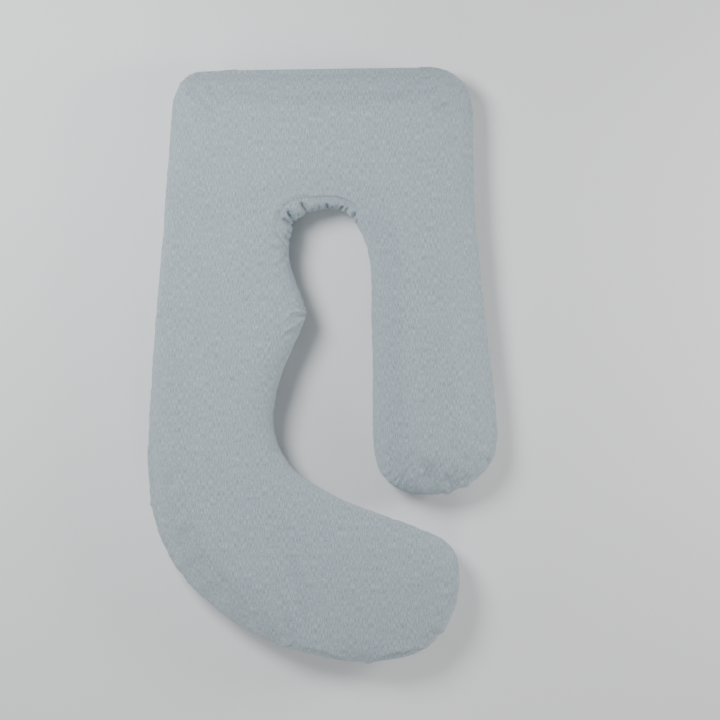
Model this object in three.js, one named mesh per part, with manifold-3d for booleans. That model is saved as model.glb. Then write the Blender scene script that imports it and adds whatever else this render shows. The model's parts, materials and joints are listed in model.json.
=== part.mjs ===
// Full-length nursing and pregnancy pillow: one asymmetric hook, with a short straight leg, a square head
// cushion, a neck arch, and a long leg that curls round at the foot. A zipped knitted cover goes over a plain
// inner pillow, which is a two-panel liner packed with loose fibre.
// Millimetres, +Z up. The pillow lies flat on z = 0 with its head edge towards +Y and its short leg at +X.
// The origin is under the middle of the whole outline.
import * as THREE from "three";
import { ParametricGeometry } from "three/addons/geometries/ParametricGeometry.js";
import { mergeVertices } from "three/addons/utils/BufferGeometryUtils.js";
import Module from "manifold-3d";

const wasm = await Module();
wasm.setup();

// ---- Driving sizes ----
const LENGTH = 1400; // head edge to the sole of the foot
const WIDTH = 826; // outside of the long leg to outside of the short leg
const THICKNESS = 130;

const HEAD_WIDTH = 706;
const HEAD_DEPTH = 329; // head edge to the crown of the neck arch
const HEAD_EDGE_FALL = 8; // the long-leg end of the head edge lies lower by this much
const SHORT_SIDE_CORNER = 96; // corner radii of the head
const LONG_SIDE_CORNER = 70;

const SHORT_LEG_LENGTH = 1005; // head edge to the end of the short leg
const SHORT_LEG_WIDTH = 296;
const SHORT_TIP_SHIFT = 12; // its lowest point lies off its middle, towards the opening
const LONG_LEG_WIDTH = 293; // at the waist, its narrowest place
const LONG_LEG_TAPER = 42; // how far the long leg's outside stands out past the head's
const NECK_WIDTH = 198; // opening between the legs at the neck arch
const NOTCH_DROP = 581; // head edge to the point that stands into the opening
const NOTCH_REACH = 79; // how far that point stands out past the waist
const WAIST_DROP = 822;
const FOOT_LENGTH = 731; // outside of the long leg to the toe
const FOOT_WIDTH = 305; // across the ball of the foot
const TOE_LEVEL = 201; // height of the toe's tip above the sole

const FABRIC = 1.5; // knitted cover
const LINER_FABRIC = 0.8;
const EDGE_GAP = 0.3; // room left where two pieces meet
const FILL_GAP = 2; // between the liner and the loose fibre
const SEAM_GAP = 0.8; // between the two panels of a cover or liner, at the seam

const TAPE_WIDTH = 13; // one zip tape
const TAPE_THICKNESS = 0.5;
const COIL_WIDTH = 2.3; // one of the two coils
const COIL_THICKNESS = 2.5;
const ZIP_MOUTH = 13; // height of the slot between the panels that shows the zip
const ZIP_END_MARGIN = 46; // plain seam left between the zip and each corner
const MOUTH_TAPER = 12; // length over which the slot opens
const CHAIN_GAP = 1.4; // between the two coils, which the slider's post runs in
const PLATE_THICKNESS = 1;
const SLIDER_LENGTH = 13;
const SLIDER_WIDTH = 10.4;
const POST_WIDTH = 0.8;
const POST_LENGTH = 3;
const FLANGE_WIDTH = 1.1;
const CROWN_LENGTH = 10;
const CROWN_HEIGHT = 3;
const CROWN_BAR = 1.2;
const CROWN_WIDTH = 2.2;
const PINTLE_RADIUS = 0.6;
const TAB_LENGTH = 24;
const TAB_WIDTH = 6.6;
const STOP_LENGTH = 3.2;
const LABEL_WIDTH = 28;
const LABEL_DROP = 36;
const LABEL_THICKNESS = 0.5;

const ARC_STEPS = { cover: 4, liner: 3 }; // facets in each quarter of a rounded wall

// ---- Finishes ----
const finish = (color, roughness, metalness = 0) =>
  new THREE.MeshStandardMaterial({ color, roughness, metalness });
const knit = finish(0xadb5ba, 0.9);
const linerCloth = finish(0xf1f0ec, 0.85);
const fibre = finish(0xfbfbf8, 1);
const tapeWeave = finish(0x9aa3a8, 0.8);
const nylon = finish(0xa4acb1, 0.45);
const metal = finish(0xb9bcc0, 0.35, 0.9);
const satin = finish(0xf4f4f2, 0.5);

// ---- Derived places ----
const half = THICKNESS / 2; // also the radius of the rounded walls
const top = LENGTH / 2;
const sole = -LENGTH / 2;
const right = WIDTH / 2;
const left = -WIDTH / 2;
const headSide = HEAD_WIDTH / 2;
const shortInner = right - SHORT_LEG_WIDTH;
const waist = left + LONG_LEG_WIDTH;
const neckLeft = shortInner - NECK_WIDTH;
const arch = top - HEAD_DEPTH;
const archMiddle = (shortInner + neckLeft) / 2;
const shortEnd = top - SHORT_LEG_LENGTH;
const toe = left + FOOT_LENGTH;
const notch = top - NOTCH_DROP;
const waistLevel = top - WAIST_DROP;
const ball = sole + FOOT_WIDTH;

// An anchor is a point on the outline with the heading, in degrees, in which the edge runs through it.
// Arriving and leaving are the lengths of its Bezier handles, where the usual share of the distance to the
// next anchor doesn't suit.
const anchor = (x, y, heading, arriving, leaving) => ({
  point: new THREE.Vector2(x, y),
  along: new THREE.Vector2(1, 0).rotateAround(
    new THREE.Vector2(),
    THREE.MathUtils.degToRad(heading),
  ),
  arriving,
  leaving,
});
const headFallAngle = THREE.MathUtils.radToDeg(
  Math.atan2(HEAD_EDGE_FALL, HEAD_WIDTH - SHORT_SIDE_CORNER - LONG_SIDE_CORNER),
);
const headLow = top - HEAD_EDGE_FALL;
const shortTip = (right + shortInner) / 2 - SHORT_TIP_SHIFT;

// Both edges run from the end of the short leg, round the head, to the toe. Anchors with the same number
// face each other across the pillow. The offsets in them are the hand-drawn part of the pattern.
const outerAnchors = [
  anchor(shortTip, shortEnd, 0),
  anchor(right, shortEnd + 132, 91, 76, 70), // the short leg is widest here
  anchor(headSide + 5, top - 350, 94), // level with the neck arch
  anchor(headSide, top - SHORT_SIDE_CORNER, 90),
  anchor(headSide - SHORT_SIDE_CORNER, top, 180 + headFallAngle),
  anchor(LONG_SIDE_CORNER - headSide, headLow, 180 + headFallAngle),
  anchor(-headSide, headLow - LONG_SIDE_CORNER, 265),
  anchor(-headSide - 0.4 * LONG_LEG_TAPER, arch - 8, 266),
  anchor(-headSide - 0.93 * LONG_LEG_TAPER, notch - 19, 265.5),
  anchor(left, waistLevel - 108, 269.5, 100, 185), // the long leg stands out furthest here
  anchor(left + 180, sole + 110, 323, 150, 115), // the heel's turn
  anchor(toe - 207, sole, 0),
  anchor(toe, sole + TOE_LEVEL, 90, 150),
];
const innerAnchors = [
  anchor(shortTip, shortEnd, 180, 0, 100),
  anchor(shortInner, shortEnd + 140, 90, 105),
  anchor(shortInner - 3, arch - 171, 91),
  anchor(shortInner - 29, arch - 53, 117), // into the neck arch
  anchor(archMiddle + 33, arch - 8, 157),
  anchor(archMiddle - 52, arch - 11, 201),
  anchor(neckLeft + 5, arch - 43, 262), // out of the neck arch
  anchor(neckLeft - 4, arch - 103, 271),
  anchor(waist + NOTCH_REACH, notch, 270, 35, 35), // the tip of the point that stands into the opening
  anchor(waist, waistLevel, 270),
  anchor(waist + 90, waistLevel - 158, 327), // over the instep
  anchor(toe - 68, ball, 335, 60, 62),
  anchor(toe, sole + TOE_LEVEL, 270, 62),
];
const SEGMENT_STEPS = [5, 4, 3, 4, 6, 4, 3, 4, 5, 5, 4, 5]; // sections cut between neighbouring anchors
const HEAD_SEGMENT = 4; // the straight head edge, which holds the zip

const HANDLE_SHARE = 0.39; // makes a quarter turn round
function edgeBetween(from, to) {
  const share = HANDLE_SHARE * from.point.distanceTo(to.point);
  return new THREE.CubicBezierCurve(
    from.point,
    from.point.clone().addScaledVector(from.along, from.leaving ?? share),
    to.point.clone().addScaledVector(to.along, -(to.arriving ?? share)),
    to.point,
  );
}

const straightBetween = (from, to) => new THREE.LineCurve(from.point, to.point);

// The zip's frame: its middle is the middle of the head edge, x runs along the edge and y points out of it.
const headEdge = {
  start: outerAnchors[HEAD_SEGMENT].point,
  end: outerAnchors[HEAD_SEGMENT + 1].point,
};
const edgeLength = headEdge.start.distanceTo(headEdge.end);
const zipLength = edgeLength - 2 * ZIP_END_MARGIN;
const zipStart = ZIP_END_MARGIN / edgeLength;
const mouthStart = (ZIP_END_MARGIN - MOUTH_TAPER) / edgeLength;

// Shares of a segment at which the pillow is cut into sections. The head edge has more, at the zip's ends.
function sectionShares(segment) {
  const steps = SEGMENT_STEPS[segment];
  if (segment !== HEAD_SEGMENT)
    return Array.from({ length: steps }, (_, i) => (i + 1) / steps);
  const across = Array.from(
    { length: steps + 1 },
    (_, i) => zipStart + ((1 - 2 * zipStart) * i) / steps,
  );
  return [mouthStart, ...across, 1 - mouthStart, 1];
}

// A section holds its two edge points and half the height of the zip's mouth there.
const sections = [{ outer: outerAnchors[0].point, inner: innerAnchors[0].point, mouth: 0 }];
for (let segment = 0; segment < SEGMENT_STEPS.length; segment++) {
  const outerEdge = segment === HEAD_SEGMENT ? straightBetween : edgeBetween;
  const outer = outerEdge(outerAnchors[segment], outerAnchors[segment + 1]);
  const inner = edgeBetween(innerAnchors[segment], innerAnchors[segment + 1]);
  for (const share of sectionShares(segment)) {
    const fromEnd = Math.min(share, 1 - share);
    const open = segment === HEAD_SEGMENT && fromEnd > (mouthStart + zipStart) / 2;
    sections.push({
      outer: outer.getPoint(share),
      inner: inner.getPoint(share),
      mouth: open ? ZIP_MOUTH / 2 : 0,
    });
  }
}
const lastSection = sections.length - 1;

// The whole outline moved into the material by inset, as outer and inner points for each section.
function insetEdges(inset) {
  const loop = [
    ...sections.map((s) => s.outer),
    ...sections
      .slice(1, lastSection)
      .map((s) => s.inner)
      .reverse(),
  ];
  const moved = loop.map((p, i) => {
    const before = loop.at(i - 1);
    const after = loop[(i + 1) % loop.length];
    const a = p.clone().sub(before).normalize();
    const b = after.clone().sub(p).normalize();
    const inward = new THREE.Vector2(-a.y - b.y, a.x + b.x).normalize();
    const lean = Math.max(0.5, inward.dot(new THREE.Vector2(-a.y, a.x)));
    return p.clone().addScaledVector(inward, inset / lean);
  });
  return sections.map((_, i) => ({
    outer: moved[i],
    inner: i === 0 || i === lastSection ? moved[i] : moved[loop.length - i],
  }));
}

// One skin of the pillow, inset from the outside of the cover. at(i, side, angle, gap) is a point on its
// rounded wall: angle is 0 half way up, 90 degrees on the flat top and -90 degrees underneath. Towards the
// tips of the legs the skin gets lower, and gap keeps two panels that meet there apart.
function skin(inset) {
  const edges = insetEdges(inset);
  const radius = half - inset;
  const tips = [edges[0].outer, edges[lastSection].outer];
  return {
    radius,
    at(i, side, angle, gap) {
      const { outer, inner } = edges[i];
      const across = outer.clone().sub(inner);
      const middle = outer.clone().add(inner).multiplyScalar(0.5);
      const fromTip = Math.min(...tips.map((t) => middle.distanceTo(t)));
      const run = Math.min(radius, across.length() / 2);
      const short = radius - Math.min(radius, fromTip);
      const rise = Math.sqrt(radius ** 2 - short ** 2);
      const inward = across.normalize().multiplyScalar(side === "outer" ? -1 : 1);
      const edge = side === "outer" ? outer : inner;
      const p = edge.clone().addScaledVector(inward, run * (1 - Math.cos(angle)));
      const height = rise * Math.sin(angle) + Math.sign(angle) * gap * (1 - rise / radius);
      return new THREE.Vector3(p.x, p.y, half + height);
    },
  };
}

// Angles up (or down) one wall, from its seam to the flat.
const QUARTER = Math.PI / 2;
function wallAngles(from, upper, steps) {
  const to = upper ? QUARTER : -QUARTER;
  return Array.from({ length: steps + 1 }, (_, k) => from + ((to - from) * k) / steps);
}

// The path over one skin at section i, from the seam on the outer edge to the seam on the inner edge.
// It stops short of each seam by the height given for that edge.
function panelPath(layer, i, upper, steps, outerGap, innerGap) {
  const sign = upper ? 1 : -1;
  const wall = (side, gap) => {
    const angles = wallAngles(sign * Math.asin(gap / layer.radius), upper, steps);
    return angles.map((angle) => layer.at(i, side, angle, gap));
  };
  return [...wall("outer", outerGap), ...wall("inner", innerGap).reverse()];
}

// A closed body from one closed loop of points for each section, whose ends shrink to a line or a point.
function loft(loops) {
  const count = loops[0].length;
  const surface = (u, v, target) =>
    target.copy(loops[Math.round(u * (loops.length - 1))][Math.round(v * count) % count]);
  return welded(new ParametricGeometry(surface, loops.length - 1, count));
}

// Shared corners merged, and faces that have shrunk to nothing taken out.
const WELD = 1e-3;
function welded(geometry) {
  geometry.deleteAttribute("normal");
  geometry.deleteAttribute("uv");
  const merged = mergeVertices(geometry, WELD);
  const kept = [];
  for (let i = 0; i < merged.index.count; i += 3) {
    const [a, b, c] = [0, 1, 2].map((k) => merged.index.getX(i + k));
    if (a !== b && b !== c && c !== a) kept.push(a, b, c);
  }
  merged.setIndex(kept);
  return merged;
}

// A sewn panel: the cloth between two skins. Where the zip is in the outer seam, it stops at the mouth.
function panel(inset, thickness, upper, steps, hasZip) {
  const gap = SEAM_GAP / 2;
  const skins = [inset, inset + thickness].map(skin);
  const loops = sections.map(({ mouth }, i) => {
    const outerGap = hasZip ? Math.max(gap, mouth) : gap;
    const [out, back] = skins.map((s) => panelPath(s, i, upper, steps, outerGap, gap));
    const loop = [...out, ...back.reverse()];
    return upper ? loop : loop.reverse();
  });
  return loft(loops);
}

// A solid filling all of one skin.
function stuffing(inset, steps) {
  const outside = skin(inset);
  const loops = sections.map((_, i) => {
    const over = panelPath(outside, i, true, steps, 0, 0);
    const under = panelPath(outside, i, false, steps, 0, 0).reverse();
    return [...over, ...under.slice(1, -1)];
  });
  return loft(loops);
}

// ---- Depths of the zip, measured out of the head edge ----
// The cover's inside leans in above the mouth, and the tapes lie flat just behind it.
function wallLean(height) {
  const wallRadius = half - FABRIC;
  const low = Math.asin(ZIP_MOUTH / 2 / wallRadius);
  const high = low + (QUARTER - low) / ARC_STEPS.cover;
  const share = (height / wallRadius - Math.sin(low)) / (Math.sin(high) - Math.sin(low));
  return wallRadius * (1 - THREE.MathUtils.lerp(Math.cos(low), Math.cos(high), share));
}
const tapeFront = -(FABRIC + wallLean(TAPE_WIDTH + CHAIN_GAP / 2) + EDGE_GAP);
const tapeBack = tapeFront - TAPE_THICKNESS;
const coilBack = tapeFront + EDGE_GAP;
const coilFront = coilBack + COIL_THICKNESS;
const frontPlate = coilFront + EDGE_GAP;
const plateFace = frontPlate + PLATE_THICKNESS;
const backPlate = tapeBack - EDGE_GAP - PLATE_THICKNESS;
const linerInset = EDGE_GAP - backPlate;
const fillInset = linerInset + LINER_FABRIC + FILL_GAP;

const pillow = new THREE.Group();
const add = (parent, name, geometry, material) => {
  const mesh = new THREE.Mesh(geometry, material);
  mesh.name = name;
  parent.add(mesh);
  return mesh;
};

// ---- Soft parts ----
add(pillow, "cover_top_panel", panel(0, FABRIC, true, ARC_STEPS.cover, true), knit);
add(pillow, "cover_bottom_panel", panel(0, FABRIC, false, ARC_STEPS.cover, true), knit);
add(pillow, "liner_top_panel", panel(linerInset, LINER_FABRIC, true, ARC_STEPS.liner), linerCloth);
add(pillow, "liner_bottom_panel", panel(linerInset, LINER_FABRIC, false, ARC_STEPS.liner), linerCloth);
add(pillow, "fibre_fill", stuffing(fillInset, ARC_STEPS.liner), fibre);

// ---- Zip ----
const zip = new THREE.Group();
const edgeMiddle = headEdge.start.clone().add(headEdge.end).multiplyScalar(0.5);
zip.position.set(edgeMiddle.x, edgeMiddle.y, half);
zip.rotation.z = THREE.MathUtils.degToRad(headFallAngle);
pillow.add(zip);

// A box given by its lowest and highest corners.
function block([x0, y0, z0], [x1, y1, z1]) {
  const box = new THREE.BoxGeometry(x1 - x0, y1 - y0, z1 - z0);
  return box.translate((x0 + x1) / 2, (y0 + y1) / 2, (z0 + z1) / 2);
}

// A flat outline in x and z, given thickness in y from back to front.
function plate(outline, back, front) {
  const shape = new THREE.ExtrudeGeometry(outline, {
    depth: front - back,
    bevelEnabled: false,
    curveSegments: 8,
  });
  return shape.rotateX(QUARTER).translate(0, front, 0);
}

const chainInner = CHAIN_GAP / 2;
const chainOuter = chainInner + COIL_WIDTH;
const stopEnd = zipLength / 2 - STOP_LENGTH;
const coilEnd = stopEnd - EDGE_GAP;

// A coil's envelope: its rounded section, extruded along the zip.
function coil(sign) {
  const section = new THREE.Shape();
  const middle = (coilFront + coilBack) / 2;
  section.absellipse(
    (sign * (chainInner + chainOuter)) / 2,
    middle,
    COIL_WIDTH / 2,
    COIL_THICKNESS / 2,
    0,
    2 * Math.PI,
  );
  const bar = new THREE.ExtrudeGeometry(section, {
    depth: 2 * coilEnd,
    bevelEnabled: false,
    curveSegments: 5,
  });
  // The section's x becomes z, and the extrusion runs along x.
  const turn = new THREE.Matrix4().makeBasis(
    new THREE.Vector3(0, 0, 1),
    new THREE.Vector3(0, 1, 0),
    new THREE.Vector3(-1, 0, 0),
  );
  return bar.applyMatrix4(turn).translate(coilEnd, 0, 0);
}

for (const [name, sign] of [
  ["upper", 1],
  ["lower", -1],
]) {
  const rims = [sign * chainInner, sign * (chainInner + TAPE_WIDTH)].sort((a, b) => a - b);
  const tape = block([-zipLength / 2, tapeBack, rims[0]], [zipLength / 2, tapeFront, rims[1]]);
  add(zip, `zip_tape_${name}`, tape, tapeWeave);
  add(zip, `zip_coil_${name}`, coil(sign), nylon);
  const jaws = [sign * chainInner, sign * chainOuter].sort((a, b) => a - b);
  const stop = block([-zipLength / 2, coilBack, jaws[0]], [-stopEnd, coilFront, jaws[1]]);
  add(zip, `zip_top_stop_${name}`, stop, metal);
}
const bottomStop = block([stopEnd, coilBack, -chainOuter], [zipLength / 2, coilFront, chainOuter]);
add(zip, "zip_bottom_stop", bottomStop, metal);

// ---- Slider and its pull tab: they ride on the zip's frame ----
const toManifold = (geometry) => {
  const g = welded(geometry.index ? geometry : mergeVertices(geometry));
  return new wasm.Manifold(
    new wasm.Mesh({
      numProp: 3,
      vertProperties: g.attributes.position.array,
      triVerts: new Uint32Array(g.index.array),
    }),
  );
};
function fromManifold(solid) {
  const mesh = solid.getMesh();
  const g = new THREE.BufferGeometry();
  g.setAttribute("position", new THREE.BufferAttribute(mesh.vertProperties, 3));
  g.setIndex(new THREE.BufferAttribute(mesh.triVerts, 1));
  return g;
}
const joined = (...pieces) =>
  fromManifold(pieces.map(toManifold).reduce((whole, piece) => whole.add(piece)));

const SLIDER_TAIL_WIDTH = 8; // the narrow end, where the closed chain comes out
function sliderOutline() {
  const shield = new THREE.Shape();
  const nose = SLIDER_LENGTH / 2;
  shield.moveTo(-nose, -SLIDER_WIDTH / 2);
  shield.lineTo(0, -SLIDER_WIDTH / 2);
  shield.lineTo(nose, -SLIDER_TAIL_WIDTH / 2);
  shield.lineTo(nose, SLIDER_TAIL_WIDTH / 2);
  shield.lineTo(0, SLIDER_WIDTH / 2);
  shield.lineTo(-nose, SLIDER_WIDTH / 2);
  return shield;
}

// The bridge over the front plate, which keeps the pull tab's pintle.
function crown() {
  const arc = new THREE.Shape();
  const foot = plateFace - PLATE_THICKNESS / 2;
  const outerRun = CROWN_LENGTH / 2;
  arc.moveTo(outerRun, foot);
  arc.absellipse(0, plateFace, outerRun, CROWN_HEIGHT, 0, Math.PI);
  arc.lineTo(-outerRun, foot);
  arc.lineTo(CROWN_BAR - outerRun, foot);
  arc.absellipse(0, plateFace, outerRun - CROWN_BAR, CROWN_HEIGHT - CROWN_BAR, Math.PI, 0, true);
  arc.lineTo(outerRun - CROWN_BAR, foot);
  const bar = new THREE.ExtrudeGeometry(arc, {
    depth: CROWN_WIDTH,
    bevelEnabled: false,
    curveSegments: 8,
  });
  return bar.translate(0, 0, -CROWN_WIDTH / 2);
}

const sliderX = SLIDER_LENGTH / 2 + EDGE_GAP - coilEnd; // closed: against the top stops
const flangeInner = chainOuter + EDGE_GAP;
const flangeRun = SLIDER_LENGTH / 2 - FLANGE_WIDTH;
const flanges = [flangeInner, -flangeInner - FLANGE_WIDTH].map((z) =>
  block([-flangeRun, tapeFront + EDGE_GAP, z], [flangeRun / 2, frontPlate + EDGE_GAP, z + FLANGE_WIDTH]),
);
const post = block(
  [-SLIDER_LENGTH / 2, backPlate + EDGE_GAP, -POST_WIDTH / 2],
  [POST_LENGTH - SLIDER_LENGTH / 2, plateFace - EDGE_GAP, POST_WIDTH / 2],
);
const sliderBody = joined(
  plate(sliderOutline(), frontPlate, plateFace),
  plate(sliderOutline(), backPlate, backPlate + PLATE_THICKNESS),
  post,
  ...flanges,
  crown(),
);
add(zip, "zip_slider_body", sliderBody, metal).position.x = sliderX;

// The tab is a flat plate with a window that the crown stands in. Its end bar is the round pintle.
const pintleY = plateFace + EDGE_GAP + PINTLE_RADIUS;
const WINDOW_LENGTH = 5.8;
function pullTab() {
  const leaf = new THREE.Shape();
  const side = TAB_WIDTH / 2;
  leaf.moveTo(0, -side);
  leaf.lineTo(TAB_LENGTH - side, -side);
  leaf.absarc(TAB_LENGTH - side, 0, side, -QUARTER, QUARTER);
  leaf.lineTo(0, side);
  const sheet = toManifold(plate(leaf, -PINTLE_RADIUS, PINTLE_RADIUS));
  const pintle = new THREE.CylinderGeometry(PINTLE_RADIUS, PINTLE_RADIUS, TAB_WIDTH, 12);
  const windowSide = CROWN_WIDTH / 2 + EDGE_GAP;
  const opening = block(
    [-2 * PINTLE_RADIUS, -CROWN_HEIGHT, -windowSide],
    [WINDOW_LENGTH, CROWN_HEIGHT, windowSide],
  );
  const solid = sheet.subtract(toManifold(opening)).add(toManifold(pintle.rotateX(QUARTER)));
  return fromManifold(solid);
}
add(zip, "zip_pull_tab", pullTab(), metal).position.set(sliderX, pintleY, 0);

// ---- Care label, a strip that hangs from the seam between the zip and the long-leg corner ----
const labelMiddle = (LABEL_WIDTH - edgeLength) / 2;
const label = block(
  [labelMiddle - LABEL_WIDTH / 2, EDGE_GAP, -LABEL_DROP],
  [labelMiddle + LABEL_WIDTH / 2, EDGE_GAP + LABEL_THICKNESS, -EDGE_GAP],
);
add(zip, "care_label", label, satin);

export default pillow;
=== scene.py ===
import json
import math

import bmesh
import bpy
import numpy as np
from mathutils import Matrix, Vector, noise


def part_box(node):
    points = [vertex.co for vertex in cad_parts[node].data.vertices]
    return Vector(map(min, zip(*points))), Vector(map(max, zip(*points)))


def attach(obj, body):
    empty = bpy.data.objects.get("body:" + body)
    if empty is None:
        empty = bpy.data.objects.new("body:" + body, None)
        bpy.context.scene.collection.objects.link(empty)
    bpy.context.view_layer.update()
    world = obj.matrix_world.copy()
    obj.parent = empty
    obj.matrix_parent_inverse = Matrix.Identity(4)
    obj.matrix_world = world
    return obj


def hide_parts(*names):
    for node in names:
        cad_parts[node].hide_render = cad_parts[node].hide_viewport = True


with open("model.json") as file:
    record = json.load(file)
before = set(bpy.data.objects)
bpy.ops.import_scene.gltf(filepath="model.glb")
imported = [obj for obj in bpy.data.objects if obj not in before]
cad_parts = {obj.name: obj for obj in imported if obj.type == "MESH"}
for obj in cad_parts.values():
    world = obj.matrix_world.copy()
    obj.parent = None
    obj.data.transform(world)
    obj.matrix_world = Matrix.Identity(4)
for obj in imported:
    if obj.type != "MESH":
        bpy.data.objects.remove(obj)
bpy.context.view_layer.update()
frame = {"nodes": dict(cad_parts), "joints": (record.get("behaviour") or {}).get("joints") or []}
nodes = frame["nodes"]

# ---- Camera ----
# A long lens that hangs straight over the pillow. The head edge is at the top of the view and the short leg
# on the right.
VIEW_WIDTH = 1.696
VIEW_MIDDLE = Vector((0.087, 0.010, 0.065))
LENS_MM = 90
SENSOR_MM = 36
camera_data = bpy.data.cameras.new("camera")
camera_data.lens = LENS_MM
camera_data.sensor_width = SENSOR_MM
camera_data.clip_end = 50
camera = bpy.data.objects.new("camera", camera_data)
camera.location = VIEW_MIDDLE + Vector((0, 0, VIEW_WIDTH * LENS_MM / SENSOR_MM))
bpy.context.collection.objects.link(camera)
bpy.context.scene.camera = camera

# ---- Studio ----
# A pale seamless floor in a pale room, with a large soft light over the head end, and three weaker ones low
# down at both sides and the foot.
FLOOR_SIZE = 12
FLOOR_DROP = 0.0005
floor_mesh = bpy.data.meshes.new("floor")
floor_bm = bmesh.new()
bmesh.ops.create_grid(floor_bm, x_segments=1, y_segments=1, size=FLOOR_SIZE / 2)
bmesh.ops.translate(floor_bm, verts=floor_bm.verts, vec=(0, 0, -FLOOR_DROP))
floor_bm.to_mesh(floor_mesh)
floor_bm.free()
floor = bpy.data.objects.new("floor", floor_mesh)
bpy.context.collection.objects.link(floor)
floor_paint = bpy.data.materials.new("floor_paint")
floor_paint.use_nodes = True
floor_shader = floor_paint.node_tree.nodes["Principled BSDF"]
floor_shader.inputs["Base Color"].default_value = (0.9, 0.9, 0.9, 1)
floor_shader.inputs["Roughness"].default_value = 0.9
floor_mesh.materials.append(floor_paint)

room = bpy.data.worlds.new("room")
room.use_nodes = True
room.node_tree.nodes["Background"].inputs["Color"].default_value = (0.93, 0.96, 1, 1)
room.node_tree.nodes["Background"].inputs["Strength"].default_value = 0.24
bpy.context.scene.world = room


def soft_light(name, place, aim, size, power, colour):
    light = bpy.data.lights.new(name, "AREA")
    light.shape = "DISK"
    light.size = size
    light.energy = power
    light.color = colour
    lamp = bpy.data.objects.new(name, light)
    lamp.location = place
    lamp.rotation_euler = (Vector(aim) - Vector(place)).to_track_quat("-Z", "Y").to_euler()
    bpy.context.collection.objects.link(lamp)


soft_light("overhead", (-1.05, 0.92, 1.9), (-0.1, 0.1, 0), 1.0, 49, (0.96, 0.98, 1))
soft_light("short_leg_side", (2.3, 0.3, 0.9), (0, 0.05, 0), 0.9, 37, (1, 0.985, 0.965))
soft_light("long_leg_side", (-2.3, -0.6, 0.9), (0, 0.05, 0), 0.9, 7, (1, 0.985, 0.96))
soft_light("foot_side", (0.2, -2.6, 0.9), (0, 0.05, 0), 0.9, 19, (1, 0.985, 0.96))

# ---- Stuffed form ----
# The real pillow's shape comes from loose fibre that pushes the sewn cover out from inside. The form starts
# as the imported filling. It is rounded, grown out to the cover, and swelled as cloth with its seam held.
FORM_GRID = 0.006
FILL_TO_COVER = 0.0135
SEAM_HEIGHT = 0.065
START_THICKNESS = 0.87
ROUNDING_PASSES = 22
EVENING_PASSES = 3
SWELL_FRAMES = 20
SWELL_LIMIT = 0.012
SEAM_HOLD = 0.0035
SLACK_REACH = 0.055
SEAM_SLACK = -0.05
SLACK_STEPS = 10


def linked(name, mesh):
    piece = bpy.data.objects.new(name, mesh)
    bpy.context.collection.objects.link(piece)
    return piece


def welded_copy(node, name):
    mesh = nodes[node].data.copy()
    mesh.materials.clear()
    bm = bmesh.new()
    bm.from_mesh(mesh)
    bmesh.ops.remove_doubles(bm, verts=bm.verts, dist=1e-5)
    bm.to_mesh(mesh)
    bm.free()
    return linked(name, mesh)


def apply_modifiers(piece):
    """Replaces the piece's mesh by what its modifiers make of it."""
    result = piece.evaluated_get(bpy.context.evaluated_depsgraph_get())
    mesh = bpy.data.meshes.new_from_object(result)
    piece.modifiers.clear()
    old = piece.data
    piece.data = mesh
    mesh.name = old.name
    bpy.data.meshes.remove(old)


def remeshed(piece, grid):
    even = piece.modifiers.new("even_grid", "REMESH")
    even.mode = "VOXEL"
    even.voxel_size = grid
    apply_modifiers(piece)


def read(mesh, what="vertices", attribute="co", width=3, kind=np.float32):
    values = np.empty(len(getattr(mesh, what)) * width, kind)
    getattr(mesh, what).foreach_get(attribute, values)
    return values.reshape(-1, width)


def write_places(mesh, places):
    mesh.vertices.foreach_set("co", places.astype(np.float32).ravel())
    mesh.update()


def shade_smooth(mesh):
    mesh.polygons.foreach_set("use_smooth", [True] * len(mesh.polygons))


def relaxed(values, edges, passes, share=0.5):
    """Each pass moves every value towards the mean of its neighbours'."""
    count = np.bincount(edges.ravel(), minlength=len(values))[:, None]
    for _ in range(passes):
        total = np.empty_like(values)
        for axis in range(values.shape[1]):
            sums = np.bincount(edges[:, 0], values[edges[:, 1], axis], len(values))
            total[:, axis] = sums + np.bincount(edges[:, 1], values[edges[:, 0], axis], len(values))
        values = values + share * (total / count - values)
    return values


def smooth_step(start, end, value):
    """0 up to the start and 1 from the end on. The start may be the higher of the two."""
    t = np.clip((value - start) / (end - start), 0, 1)
    return t * t * (3 - 2 * t)


# Round the neck arch the seam climbs the wall, so that the bottom panel's gathered wall shows from above.
ARCH_X = 0.012
ARCH_REACH = 0.17
CLIMB = 0.042
CLIMB_MORE_LEFT = 0.009
CLIMB_LOW = 0.250
CLIMB_HIGH = 0.335
CLIMB_TILT = 0.15
CLIMB_END = 0.47
CLIMB_LEFT_SPAN = (ARCH_X - 0.01, ARCH_X - 0.08)


def seam_climb(places):
    off_middle = places[:, 0] - ARCH_X
    near = (np.abs(off_middle) < ARCH_REACH) & (places[:, 1] < CLIMB_END)
    return near * smooth_step(CLIMB_LOW, CLIMB_HIGH, places[:, 1] - CLIMB_TILT * off_middle)


# It also climbs, a little less, along the long leg's outer side and on both sides of the sole. Every pair of
# values is where there is no climb and where it is full.
SIDE_CLIMB = 0.043
LEG_SIDE_X = (-0.27, -0.32)
LEG_SIDE_Y = ((0.060, 0.160), (0.470, 0.330))
SOLE_Y = (-0.54, -0.60)
SOLE_X = [((-0.125, -0.060), (0.070, 0.010)), ((0.090, 0.150), (0.270, 0.210))]


def side_climb(places):
    x, y = places[:, 0], places[:, 1]
    low, high = LEG_SIDE_Y
    rise = smooth_step(*LEG_SIDE_X, x) * smooth_step(*low, y) * smooth_step(*high, y)
    for low, high in SOLE_X:
        rise = rise + smooth_step(*SOLE_Y, y) * smooth_step(*low, x) * smooth_step(*high, x)
    return rise


def seam_level(places):
    climb = CLIMB + CLIMB_MORE_LEFT * smooth_step(*CLIMB_LEFT_SPAN, places[:, 0])
    return SEAM_HEIGHT + climb * seam_climb(places) + SIDE_CLIMB * side_climb(places)


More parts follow.
